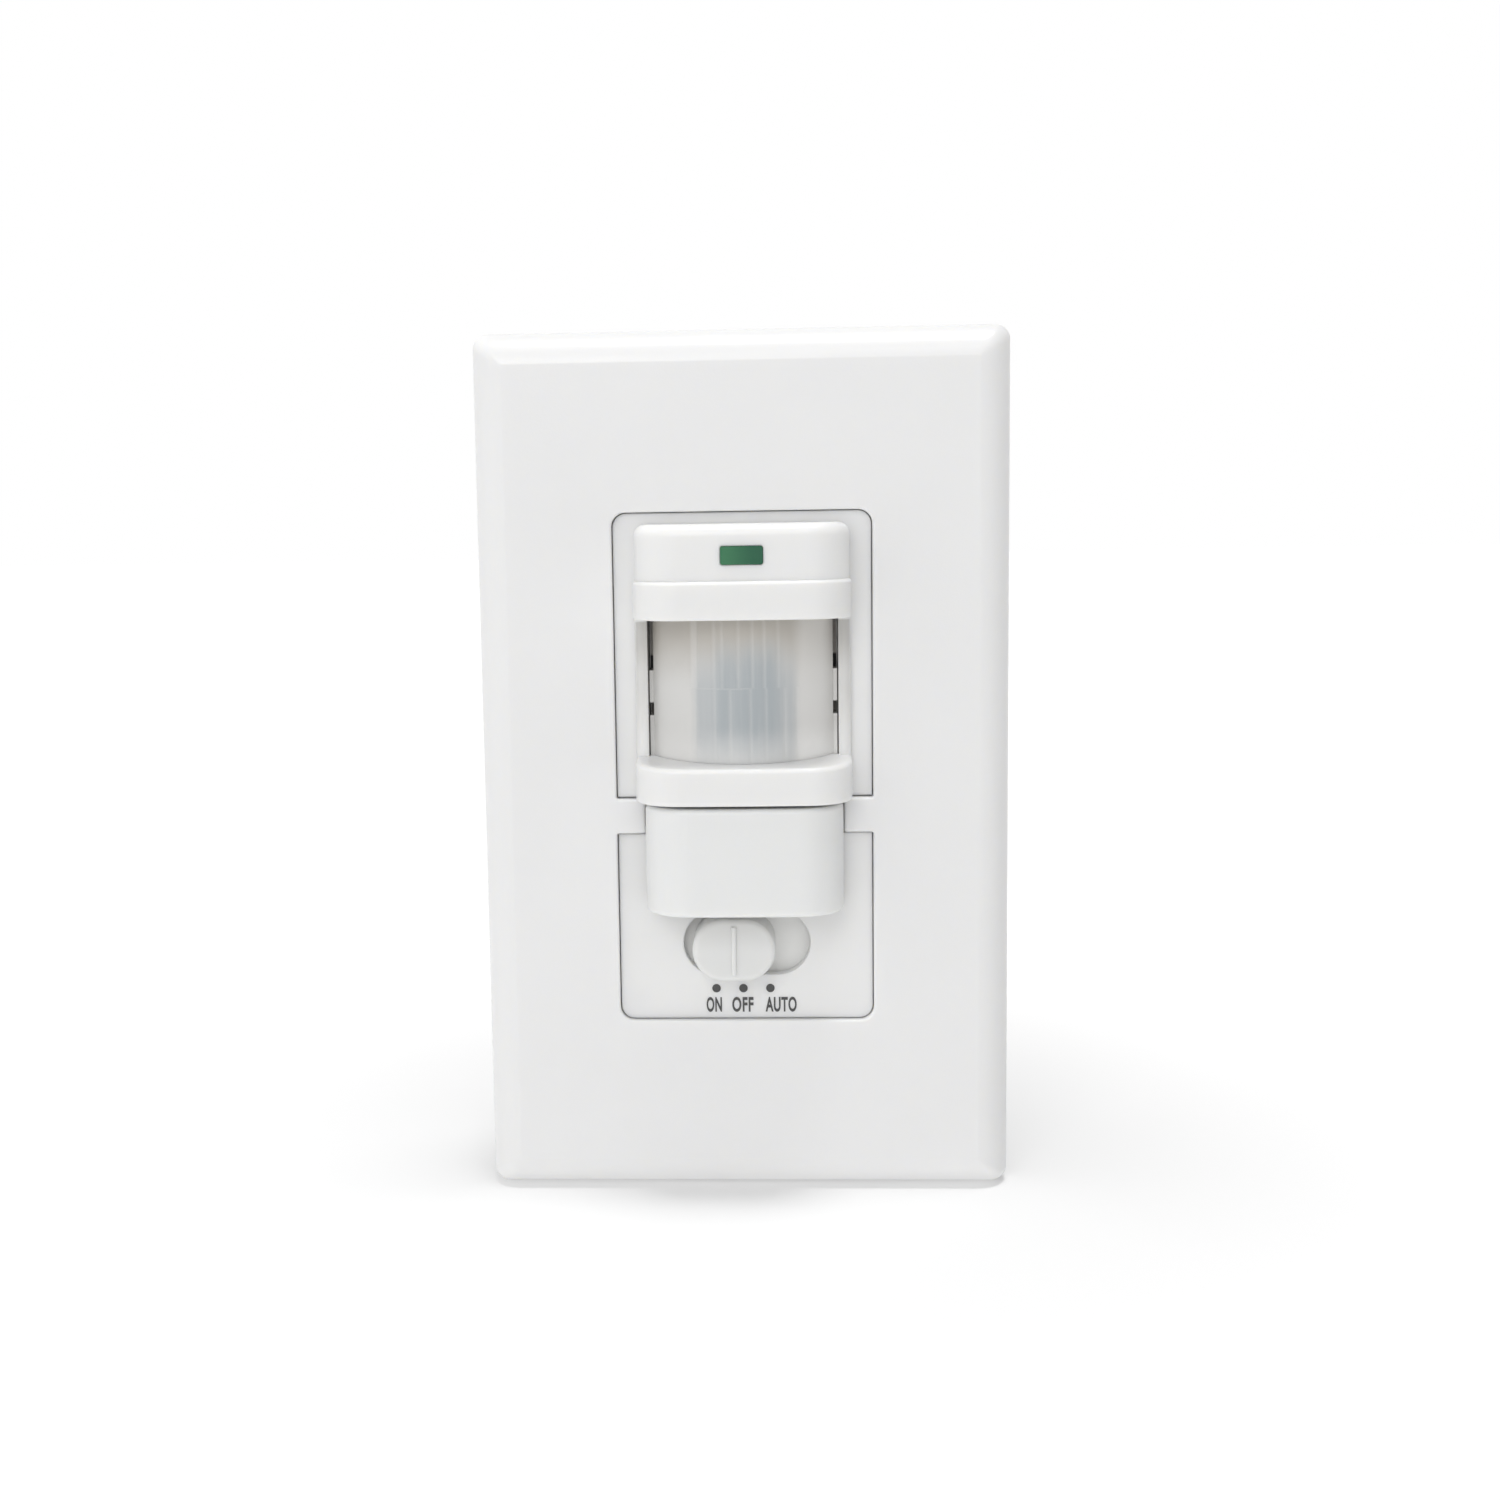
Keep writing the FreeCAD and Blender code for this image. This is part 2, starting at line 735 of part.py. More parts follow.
def front_housing():
    panel = slab(panel_width, panel_height, panel_corner, (panel_y, strap_y))
    hollow = slab(panel_width - 2 * panel_rim, panel_height - 2 * panel_rim, panel_corner / 2,
                  (panel_back, strap_y + overrun))
    guides = []
    for side in (-1, 1):
        middle = shutter_size()[1] / 2 + guide_gap + guide_wall / 2
        guides.append(block(panel_width - panel_rim, guide_wall, (panel_back - near, strap_y),
                            0, slot_z + side * middle))
    posts = [rod(post_radius, (panel_back - near, strap_y), x, z)
             for x, z in four(housing_screw_x, housing_screw_z)]
    shape = join(cut(panel, hollow), *head_solid(), boss(), *ears(), *guides, *posts)

    back = strap_y + overrun
    room = lens_half + slit_width
    tools = [lens_prism(lens_radius + lens_gap, room, back, (lens_bottom - lens_gap, lens_top + lens_gap))]
    tools.append(block(2 * room, lens_top - lens_bottom + 2 * lens_gap, (face_y, back), lens_x, lens_z))
    tools.append(block(2 * room, hood_bottom - cheek_bottom(), (face_y - cheek_reach - overrun, back),
                       lens_x, (hood_bottom + cheek_bottom()) / 2))
    tools.append(pod_hollow())
    led_z = pod_top - led_drop
    tools.append(slab(led_width + 2 * led_gap, led_height + 2 * led_gap, led_corner,
                      (face_y - head_reach - overrun, face_y), led_x, led_z))
    tools.append(box((boss_left + boss_wall, boss_right - boss_wall), (boss_front + boss_wall, back),
                     (boss_bottom + boss_wall, boss_top - boss_wall)))
    for x in dial_places():
        tools.append(rod(dial_radius + dial_gap, (boss_front - overrun, boss_front + boss_wall + overrun),
                         x, cover_z))
    tools.append(stadium(slot_width, slot_height, (panel_y - overrun, panel_back + overrun), slot_x, slot_z))
    tools += [upright(hinge_pin_radius + hinge_gap, (low - overrun, low + ear_wall + overrun),
                      hinge_x, hinge_y) for low in (boss_bottom, boss_top - ear_wall)]
    for side in (-1, 1):
        x = sorted((side * (tab_end - tab_gap), side * (panel_width / 2 + overrun)))
        z = (tab_bottom - tab_gap, tab_top + tab_gap)
        tools.append(box(x, (panel_y - overrun, face_y + tab_wall + tab_gap), z))
    for x, z in four(housing_screw_x, housing_screw_z):
        tools.append(rod(housing_screw_radius + thread_gap, (panel_y + post_skin, back), x, z))
    return cut(shape, *tools)


# The lens curves between two legs, and wings on the legs close the slits beside it in places.
def lens():
    z = (lens_bottom, lens_top)
    shell = cut(lens_prism(lens_radius, lens_half, lens_back, z),
                lens_prism(lens_radius - lens_wall, lens_half - lens_wall, lens_back + overrun,
                           (z[0] - overrun, z[1] + overrun)))
    short_top = hood_bottom - short_slit_drop
    spans = [(short_top, hood_bottom - long_slit), (z[0], short_top - short_slit)]
    wings = []
    for side in (-1, 1):
        reach = (lens_half - lens_wall, lens_half + slit_width - slit_gap)
        x = sorted(lens_x + side * value for value in reach)
        wings += [box(x, (face_y + slit_drop, lens_back), span) for span in spans]
    return join(shell, *wings)


def lens_frame():
    flange_y = (lens_back, strap_y)
    height = lens_top - lens_bottom
    flange = block(2 * (lens_half + slit_width - slit_gap), height, flange_y, lens_x, lens_z)
    half = lens_half - lens_wall - lens_gap
    tube_y = (flange_y[0] - frame_depth, flange_y[0])
    tube = block(2 * half, height, tube_y, lens_x, lens_z)
    window = block(2 * (half - frame_wall), height - 2 * frame_wall,
                   (tube_y[0] - overrun, strap_y + overrun), lens_x, lens_z)
    return cut(join(flange, tube), window)


def led_window():
    z = pod_top - led_drop
    front = face_y - head_reach + pod_step
    inside = front + head_wall + pipe_flange
    face = slab(led_width, led_height, led_corner, (front - led_proud, inside), led_x, z)
    flange = block(led_width + 2 * pipe_flange, led_height + 2 * pipe_flange, (front, inside), led_x, z)
    stem_end = sensor_board_y - lamp_height - frame_gap
    stem = block(pipe_width, pipe_height, (front, stem_end), led_x, z)
    return join(face, flange.common(pod_hollow()), stem)


def status_led():
    z = pod_top - led_drop
    top = sensor_board_y - lamp_height
    dome = round_edges(rod(lamp_radius, (top, sensor_board_y), led_x, z), lamp_round, at_y(top))
    rim = rod(lamp_radius + lamp_rim, (sensor_board_y - lamp_rim_height, sensor_board_y), led_x, z)
    return join(dome, rim)


def corner_notches(y):
    reach = column_radius + board_notch_gap
    notches = []
    for side, end in four(1, 1):
        x = sorted((side * (housing_screw_x - reach), side * inner_width))
        z = sorted((end * (housing_screw_z - reach), end * inner_height))
        notches.append(box(x, (y[0] - overrun, y[1] + overrun), z))
    return notches


def board(height, y):
    span = (y, y + board_wall)
    return cut(block(2 * board_half, height, span), *corner_notches(span))


def sensor_board():
    return board(inner_height - 2 * board_end_gap, sensor_board_y)


def power_board():
    sheet = board(power_board_height, power_board_y)
    notches = []
    for z in (-terminal_spacing / 2, terminal_spacing / 2):
        x = (terminal_x - pocket_wall - board_gap, inner_width)
        room = pocket_size / 2 + pocket_wall + board_gap
        notches.append(box(x, (power_board_y - overrun, power_board_y + 2 * overrun + board_wall),
                           (z - room, z + room)))
    return cut(sheet, *notches)


def pir_detector():
    top = sensor_board_y - detector_height
    can = rod(detector_radius, (top, sensor_board_y), lens_x, lens_z)
    can = round_edges(can, edge_round, at_y(top))
    rim = rod(detector_rim_radius, (sensor_board_y - detector_rim, sensor_board_y), lens_x, lens_z)
    filter_recess = block(*detector_window, (top - overrun, top + frame_gap), lens_x, lens_z)
    return cut(join(can, rim), filter_recess)


def photocell():
    top = sensor_board_y - photocell_height
    cell = rod(photocell_radius, (top, sensor_board_y), photocell_x, ledge_top + photocell_rise)
    return round_edges(cell, edge_round, at_y(top))


def dial(x):
    front = boss_front - dial_proud
    behind = boss_front + boss_wall + dial_gap
    top = round_edges(rod(dial_radius, (front, behind), x, cover_z), edge_round, at_y(front))
    flange = rod(dial_flange_radius, (behind, behind + dial_flange), x, cover_z)
    tip = sensor_board_y - trimmer_floor - dial_gap
    shaft = rod(dial_shaft_radius, (behind, tip), x, cover_z)
    length = 2 * dial_radius - 2 * dial_slot
    slots = [block(*size, (front - overrun, front + dial_slot), x, cover_z)
             for size in ((length, dial_slot), (dial_slot, length))]
    return cut(join(top, flange, shaft), *slots)


def trimmer(x):
    top = sensor_board_y - trimmer_height
    body = block(trimmer_size, trimmer_size, (top, sensor_board_y), x, cover_z)
    bore_y = (top - overrun, sensor_board_y - trimmer_floor)
    return cut(body, rod(dial_shaft_radius + dial_shaft_gap, bore_y, x, cover_z))


def slide_knob():
    height = slot_height - 2 * knob_gap
    front = face_y - knob_reach
    body = round_edges(stadium(knob_width, height, (front, shutter_y), knob_x, slot_z),
                       knob_round, at_y(front))
    ridge = block(ridge_width, ridge_height, (front - ridge_proud, front + knob_round), knob_x, slot_z)
    ridge = round_edges(ridge, ridge_width / 3, lambda bound: along_z(bound) and bound.YMin < front)
    stem_end = shutter_y + stem_length
    stem = block(stem_width, stem_height, (shutter_y - near, stem_end), knob_x, slot_z)
    pocket = block(lever_size, lever_size + 2 * lever_play,
                   (stem_end - lever_overlap - lever_play, stem_end + overrun), knob_x, slot_z)
    return cut(join(body, ridge, stem), pocket)


def dust_shutter():
    width, height = shutter_size()
    y = (shutter_y, shutter_y + shutter_wall)
    sheet = slab(width, height, shutter_corner, y, knob_x, slot_z)
    hole = block(stem_width + 2 * stem_gap, stem_height + 2 * stem_gap,
                 (y[0] - overrun, y[1] + overrun), knob_x, slot_z)
    return cut(sheet, hole)


def switch_slider():
    tip = shutter_y + stem_length - lever_overlap
    plate_y = sensor_board_y - switch_height + switch_wall + switch_play
    lever = block(lever_size, lever_size, (tip, plate_y), knob_x, slot_z)
    return join(lever, block(slider_width, slider_height, (plate_y, plate_y + slider_wall), knob_x, slot_z))


def switch_body():
    top = sensor_board_y - switch_height
    room = 2 * switch_step + 2 * switch_play
    width, height = slider_width + room, slider_height + 2 * switch_play
    body = block(width + 2 * switch_wall, height + 2 * switch_wall, (top, sensor_board_y), slot_x, slot_z)
    cavity = block(width, height, (top + switch_wall, sensor_board_y - switch_wall), slot_x, slot_z)
    slot = block(lever_size + room, lever_size + 2 * switch_play, (top - overrun, top + 2 * switch_wall),
                 slot_x, slot_z)
    return cut(body, cavity, slot)


def control_cover():
    z = (cover_bottom, cover_top)
    back, front = panel_y - rear_gap, face_y - cover_reach
    outer = bowed_prism(cover_half, back, front, head_corner, head_bow, z)
    for height in z:
        rim = lambda bound, height=height: at_z(height)(bound) and bound.YMin < back - near
        outer = round_edges(outer, cover_round, rim)
    inner = bowed_prism(cover_half - cover_wall, back + overrun, front + cover_wall,
                        head_corner - cover_wall, head_bow, (z[0] + cover_wall, z[1] - cover_wall))
    shell = cut(outer, inner)
    tall = (z[0] - overrun, z[1] + overrun)
    behind = box((-cover_half - overrun, hinge_x), (hinge_y, back + overrun), tall)
    shell = cut(shell, cut(behind, upright(knuckle_radius, tall, hinge_x, hinge_y)))
    knuckle_z = (cover_z - knuckle_half, cover_z + knuckle_half)
    room = []
    for low, high in ((z[0] + cover_wall, knuckle_z[0]), (knuckle_z[1], z[1] - cover_wall)):
        room.append(upright(ear_radius + ear_gap, (low, high), hinge_x, hinge_y))
    shell = cut(shell, *room)
    knuckle = upright(knuckle_radius, knuckle_z, hinge_x, hinge_y)
    web = box((-cover_half, hinge_x), (hinge_y - knuckle_radius, hinge_y), knuckle_z)
    pin = upright(hinge_pin_radius, (boss_bottom, boss_top), hinge_x, hinge_y)
    return join(shell, knuckle, web, pin)


def terminal_places():
    return {"load": -terminal_spacing / 2, "line": terminal_spacing / 2}


def rear_housing():
    outer = slab(housing_width, housing_height, housing_corner, (0, housing_depth))
    rim = [e for e in outer.Edges if at_y(housing_depth)(e.BoundBox)]
    outer = outer.makeFillet(housing_corner / 2, rim)
    floor = housing_depth - housing_wall
    hollow = slab(inner_width, inner_height, housing_corner / 2, (-overrun, floor))
    shell = cut(outer, hollow)
    columns = [rod(column_radius, (0, housing_depth - near), x, z)
               for x, z in four(housing_screw_x, housing_screw_z)]
    pads = [block(pad_size, pad_size, (power_board_y + board_wall, floor + near), x, z)
            for x, z in four(board_half - board_gap - pad_size / 2, spacer_z)]
    pockets, holes = [], []
    side = housing_width / 2
    for z in terminal_places().values():
        size = pocket_size + 2 * pocket_wall
        y = (terminal_y - size / 2, terminal_y + size / 2)
        pockets.append(box((terminal_x - pocket_wall, side - housing_wall + near), y,
                           (z - size / 2, z + size / 2)))
        y = (terminal_y - pocket_size / 2, terminal_y + pocket_size / 2)
        holes.append(box((terminal_x, side + overrun), y, (z - pocket_size / 2, z + pocket_size / 2)))
        holes.append(crossbar(terminal_screw_radius, (terminal_x - screw_bite, side), terminal_y, z))
    for x, z in four(housing_screw_x, housing_screw_z):
        shank = (-overrun, housing_depth + overrun)
        holes.append(rod(housing_screw_radius + housing_screw_gap, shank, x, z))
        recess = (housing_depth - head_recess, housing_depth + overrun)
        holes.append(rod(housing_head_radius + recess_gap, recess, x, z))
    return cut(join(shell, *columns, *pads, *pockets), *holes)


def housing_screws():
    screws = []
    seat = housing_depth - head_recess
    for x, z in four(housing_screw_x, housing_screw_z):
        shank = rod(housing_screw_radius, (panel_y + post_skin + thread_gap, seat), x, z)
        head = rod(housing_head_radius, (seat, seat + housing_head), x, z)
        head = round_edges(head, ledge_round, at_y(seat + housing_head))
        slot = block(2 * housing_head_radius + overrun, screw_slot_width,
                     (seat + housing_head - screw_slot_depth, housing_depth + overrun), x, z)
        screws.append(cut(join(shank, head), slot))
    return Part.makeCompound(screws)


def terminal(z):
    half = terminal_size / 2
    plate = box((terminal_x, terminal_x + terminal_wall), (terminal_y - half, terminal_y + half),
                (z - half, z + half))
    return cut(plate, crossbar(terminal_screw_radius + terminal_screw_gap,
                               (terminal_x - overrun, terminal_x + 2 * overrun), terminal_y, z))


def terminal_screw(z):
    seat = terminal_x + terminal_wall + terminal_gap
    shank = crossbar(terminal_screw_radius, (terminal_x - screw_bite, seat), terminal_y, z)
    head = crossbar(terminal_head_radius, (seat, seat + terminal_head), terminal_y, z)
    end = seat + terminal_head
    head = round_edges(head, edge_round, lambda bound: level(bound.XMin, bound.XMax, end))
    slot = box((end - screw_slot_depth, end + overrun),
               (terminal_y - screw_slot_width / 2, terminal_y + screw_slot_width / 2),
               (z - 2 * terminal_head_radius, z + 2 * terminal_head_radius))
    return cut(join(head, shank), slot)


def insulating_sheet():
    y = (0, sheet_wall)
    sheet = block(inner_width - 2 * board_gap, inner_height - 2 * board_gap, y)
    through = (-overrun, sheet_wall + overrun)
    top = strap_window_height / 2 - sheet_bridge
    bottom = slot_z - stem_height / 2 - sheet_gap
    window = slab(strap_window_width, top - bottom, strap_window_corner, through, 0, (top + bottom) / 2)
    pipe = block(pipe_width + lens_gap, pipe_height + lens_gap, through, led_x, pod_top - led_drop)
    return cut(sheet, window, pipe, *corner_notches(y))


def board_header():
    z = header_inset - power_board_height / 2
    return block(header_width, header_height, (sensor_board_back, power_board_y), 0, z)


def board_spacers():
    y = (sensor_board_back, power_board_y)
    return Part.makeCompound([hexagon(spacer_radius, y, x, z) for x, z in four(spacer_x, spacer_z)])


def on_power_board(size, gap, side, z):
    x = side + size[0] / 2 - board_half
    return slab(*size, component_round, (sensor_board_back + gap, power_board_y), x, z)


def relay():
    z = spacer_z - spacer_radius - relay_end - relay_size[1] / 2
    return on_power_board(relay_size, relay_gap, relay_side, z)


def film_capacitor():
    z = spacer_radius + film_end + film_size[1] / 2 - spacer_z
    return on_power_board(film_size, film_gap, film_side, z)


def filter_capacitor():
    top = sensor_board_back + filter_gap
    can = rod(filter_radius, (top, power_board_y), filter_x, filter_z)
    return round_edges(can, component_round, at_y(top))


def varistor():
    x = (varistor_x - varistor_wall / 2, varistor_x + varistor_wall / 2)
    disc = crossbar(varistor_radius, x, power_board_y - varistor_radius, varistor_z)
    return round_edges(disc, component_round, lambda bound: bound.XLength < near)


def pieces():
    parts = {
        "wall_plate": wall_plate(),
        "plate_adapter": plate_adapter(),
        "adapter_screws": adapter_screws(),
        "mounting_strap": mounting_strap(),
        "box_screws": box_screws(),
        "screw_retainers": screw_retainers(),
        "ground_screw": ground_screw(),
        "front_housing": front_housing(),
        "lens": lens(),
        "lens_frame": lens_frame(),
        "led_window": led_window(),
        "status_led": status_led(),
        "control_cover": control_cover(),
        "slide_knob": slide_knob(),
        "dust_shutter": dust_shutter(),
        "switch_slider": switch_slider(),
        "switch_body": switch_body(),
        "sensor_board": sensor_board(),
        "pir_detector": pir_detector(),
        "photocell": photocell(),
        "insulating_sheet": insulating_sheet(),
        "rear_housing": rear_housing(),
        "housing_screws": housing_screws(),
        "power_board": power_board(),
        "board_header": board_header(),
        "board_spacers": board_spacers(),
        "relay": relay(),
        "film_capacitor": film_capacitor(),
        "filter_capacitor": filter_capacitor(),
        "varistor": varistor(),
    }
    for name, x in zip(("time", "light", "range"), dial_places()):
        parts[name + "_dial"] = dial(x)
        parts[name + "_trimmer"] = trimmer(x)
    for name, z in terminal_places().items():
        parts[name + "_terminal"] = terminal(z)
        parts[name + "_screw"] = terminal_screw(z)
    return parts


def main():
    os.makedirs("parts", exist_ok=True)
    for name, shape in pieces().items():
        shape.exportStep("parts/" + name + ".step")
        state = "valid" if shape.isValid() else "not valid"
        print(name, len(shape.Solids), "solids,", round(shape.Volume, 1), "mm3,", state)


main()
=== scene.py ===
import math

import bmesh
import bpy
from mathutils import Matrix, Vector


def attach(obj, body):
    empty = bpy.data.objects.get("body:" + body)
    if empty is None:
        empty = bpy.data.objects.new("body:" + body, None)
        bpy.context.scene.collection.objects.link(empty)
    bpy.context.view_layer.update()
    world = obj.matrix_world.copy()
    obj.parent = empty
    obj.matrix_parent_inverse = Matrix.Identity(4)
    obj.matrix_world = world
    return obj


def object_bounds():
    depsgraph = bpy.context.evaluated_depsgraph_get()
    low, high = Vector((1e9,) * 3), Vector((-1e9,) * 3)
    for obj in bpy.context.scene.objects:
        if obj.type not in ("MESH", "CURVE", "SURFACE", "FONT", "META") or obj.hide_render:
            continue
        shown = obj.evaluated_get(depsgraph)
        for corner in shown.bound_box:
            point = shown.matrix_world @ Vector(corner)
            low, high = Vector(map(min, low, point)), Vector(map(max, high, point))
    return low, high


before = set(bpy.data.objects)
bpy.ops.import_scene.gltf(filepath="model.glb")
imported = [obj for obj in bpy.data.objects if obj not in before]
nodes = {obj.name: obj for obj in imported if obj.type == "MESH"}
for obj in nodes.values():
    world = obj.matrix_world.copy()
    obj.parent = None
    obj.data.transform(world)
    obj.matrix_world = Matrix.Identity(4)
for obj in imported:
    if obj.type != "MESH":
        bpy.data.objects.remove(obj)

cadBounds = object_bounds()
print("frame loaded,", len(nodes), "nodes")


class Wire:  # a shader socket that takes Python's own operators
    def __init__(self, tree, socket=None):
        self.tree = tree
        self.socket = socket

    def node(self, kind, settings=None, inputs=None, out=0):
        made = self.tree.nodes.new("ShaderNode" + kind)
        for name, value in (settings or {}).items():
            setattr(made, name, value)
        for key, value in (inputs or {}).items():
            if isinstance(value, Wire):
                self.tree.links.new(value.socket, made.inputs[key])
            else:
                made.inputs[key].default_value = value
        return Wire(self.tree, made.outputs[out] if made.outputs else None)

    def math(self, operation, *values, clamp=False):
        return self.node("Math", {"operation": operation, "use_clamp": clamp}, dict(enumerate(values)))

    def mix(self, factor, first, second):
        return self.node("Mix", {"data_type": "RGBA"}, {0: factor, 6: first, 7: second}, out=2)

    def __add__(self, other):
        return self.math("ADD", self, other)

    def __sub__(self, other):
        return self.math("SUBTRACT", self, other)

    def __rsub__(self, other):
        return self.math("SUBTRACT", other, self)

    def __mul__(self, other):
        return self.math("MULTIPLY", self, other)

    __radd__ = __add__
    __rmul__ = __mul__


def rgba(shade):
    if isinstance(shade, (int, float)):
        return (shade, shade, shade, 1.0)
    return (*shade, 1.0)


def newFinish(name):
    finish = bpy.data.materials.new(name)
    finish.use_nodes = True
    finish.node_tree.nodes.clear()
    return finish, Wire(finish.node_tree)


def closeFinish(finish, wire, inputs):
    surface = wire.node("BsdfPrincipled", inputs=inputs)
    wire.node("OutputMaterial", inputs={"Surface": surface})
    return finish


def objectPlace(wire):
    return wire.node("TexCoord", out="Object")


def across(wire, place):  # from the part's middle to its right
    return wire.node("SeparateXYZ", inputs={0: place}, out=0)


def upwards(wire, place):
    return wire.node("SeparateXYZ", inputs={0: place}, out=2)


def noise(wire, place, scale, detail=2.0, rough=0.5, stretch=None):
    if stretch:
        place = wire.node("Mapping", inputs={"Vector": place, "Scale": stretch})
    inputs = {"Vector": place, "Scale": scale, "Detail": detail, "Roughness": rough}
    return wire.node("TexNoise", inputs=inputs)


def softStep(wire, value, low, high):
    settings = {"interpolation_type": "SMOOTHSTEP"}
    return wire.node("MapRange", settings, {"Value": value, "From Min": low, "From Max": high})


def between(wire, value, low, high, edge):
    rise = softStep(wire, value, low - edge, low + edge)
    return rise * (1 - softStep(wire, value, high - edge, high + edge))


def bump(wire, height, distance, facing=None):
    inputs = {"Height": height, "Distance": distance}
    if facing:
        inputs["Normal"] = facing
    return wire.node("Bump", inputs=inputs)


def scaled(colour, share):
    return tuple(min(1.0, part * share) for part in colour)


# moulded plastic: a faintly clouded colour, uneven gloss, a fine texture and eased corners
moulding = {
    "shift": (0.00137, 0.00211, 0.00173),  # keeps the noise's own grid off the part's flat faces
    "cloudScale": 60.0,
    "patchScale": 180.0,
    "gloss": (0.3, 0.85),  # how much of the roughness varies, and how much stays
    "coatRough": 0.15,
    "easeSamples": 6,
    "glow": (0.0012, 0.00115, 0.001),  # how far red, green and blue light spread under the skin
}


def mouldedPlastic(name, colour, rough, grain=0.00001, grainScale=4000.0, cloud=0.015, coat=0.0, soft=0.0,
                   ease=0.0, shade=None):
    finish, wire = newFinish(name)
    place = wire.node("Mapping", inputs={"Vector": objectPlace(wire), "Location": moulding["shift"]})
    clouds = noise(wire, place, moulding["cloudScale"], detail=3.0)
    tint = wire.mix(clouds, rgba(scaled(colour, 1 - cloud)), rgba(scaled(colour, 1 + cloud)))
    if shade:
        tint = shade(wire, tint)
    varied, steady = moulding["gloss"]
    patches = noise(wire, place, moulding["patchScale"], detail=4.0, rough=0.6)
    skin = noise(wire, place, grainScale, detail=2.0)
    eased = wire.node("Bevel", {"samples": moulding["easeSamples"]}, {"Radius": ease}) if ease else None
    return closeFinish(finish, wire, {
        "Base Color": tint,
        "Roughness": patches * (rough * varied) + rough * steady,
        "Normal": bump(wire, skin, grain, eased),
        "Coat Weight": coat,
        "Coat Roughness": moulding["coatRough"],
        "Subsurface Weight": soft,
        "Subsurface Radius": moulding["glow"],
        "Subsurface Scale": 1.0,
    })


# plated or turned metal: drawn lines along one direction, and dull patches
metalSkin = {"lineScale": 900.0, "lineRough": 0.12, "dullScale": 240.0, "dullRough": 0.14, "polish": 0.1,
             "grain": 0.00001, "tarnish": 0.12}


def plateMetal(name, colour, rough, stretch):
    finish, wire = newFinish(name)
    place = objectPlace(wire)
    skin = metalSkin
    lines = noise(wire, place, skin["lineScale"], detail=4.0, rough=0.65, stretch=stretch)
    dull = noise(wire, place, skin["dullScale"], detail=5.0, rough=0.6)
    return closeFinish(finish, wire, {
        "Base Color": wire.mix(dull, rgba(colour), rgba(scaled(colour, 1 - skin["tarnish"]))),
        "Metallic": 1.0,
        "Roughness": lines * skin["lineRough"] + dull * skin["dullRough"] + (rough - skin["polish"]),
        "Normal": bump(wire, lines, skin["grain"]),
    })


def paint(node, finish):
    for holder in nodes[node].material_slots:
        holder.material = finish


def paintTwins(twins):  # pieces that share another piece's finish
    for twin, node in twins.items():
        paint(twin, nodes[node].material_slots[0].material)


# the hood keeps light off the cheeks beside the lens, and the cover keeps it off the knob's top
# each fall is a height where the shade starts, one where it is full, and its strength
hoodShade = {
    "colour": (0.06, 0.04, 0.0),
    "sides": (0.0137, 0.0142),
    "end": (0.0195, 0.0198),
    "falls": ((0.0010, 0.0120, 0.2), (0.0125, 0.0175, 0.17)),
}
coverShade = {
    "colour": (0.06, 0.04, 0.0),
    "sides": (0.0190, 0.0200),
    "end": (-0.0100, -0.0090),
    "falls": ((-0.0290, -0.0280, 0.05), (-0.0240, -0.0205, 0.1)),
}


def shadeUnder(look):
    def darken(wire, tint):
        place = objectPlace(wire)
        aside = wire.math("ABSOLUTE", across(wire, place))
        height = upwards(wire, place)
        inside = (1 - softStep(wire, aside, *look["sides"])) * (1 - softStep(wire, height, *look["end"]))
        fall = sum(softStep(wire, height, low, high) * strength for low, high, strength in look["falls"])
        return wire.mix(inside * fall, tint, rgba(look["colour"]))
    return darken


whites = {
    "wall_plate": {"name": "plate white", "colour": (0.80, 0.80, 0.80), "rough": 0.3, "coat": 0.12,
                   "ease": 0.0003, "soft": 0.7},
    "front_housing": {"name": "device white", "colour": (0.80, 0.80, 0.795), "rough": 0.34, "coat": 0.1,
                      "ease": 0.00022, "soft": 0.7, "shade": shadeUnder(hoodShade)},
    "control_cover": {"name": "cover white", "colour": (0.785, 0.79, 0.785), "rough": 0.34, "coat": 0.1,
                      "ease": 0.00022, "soft": 0.7},
    "slide_knob": {"name": "knob white", "colour": (0.76, 0.765, 0.76), "rough": 0.4,
                   "ease": 0.00015, "soft": 0.5, "shade": shadeUnder(coverShade)},
    "dust_shutter": {"name": "shutter white", "colour": (0.84, 0.84, 0.825), "rough": 0.5},
}
for node, facts in whites.items():
    paint(node, mouldedPlastic(**facts))
print("white mouldings painted")


# the green window: the lamp sits behind its left part
windowGlow = {
    "middle": -0.0002,
    "half": 0.0022,
    "pale": (0.048, 0.183, 0.089),
    "deep": (0.019, 0.098, 0.054),
    "streakScale": 500.0,
    "streaks": 0.2,
    "rough": (0.1, 0.18),  # how much follows the streaks, and how much stays
    "grain": 0.00002,
    "shine": 0.3,
}


def greenWindow():
    finish, wire = newFinish("green window")
    place = objectPlace(wire)
    look = windowGlow
    middle, half = look["middle"], look["half"]
    right = softStep(wire, across(wire, place), middle - half, middle + half)
    streaks = noise(wire, place, look["streakScale"], detail=3.0)
    depth = right * (1 - look["streaks"]) + streaks * look["streaks"]
    varied, steady = look["rough"]
    return closeFinish(finish, wire, {
        "Base Color": wire.mix(depth, rgba(look["pale"]), rgba(look["deep"])),
        "Roughness": streaks * varied + steady,
        "Normal": bump(wire, streaks, look["grain"]),
        "Specular IOR Level": look["shine"],
    })


paint("led_window", greenWindow())

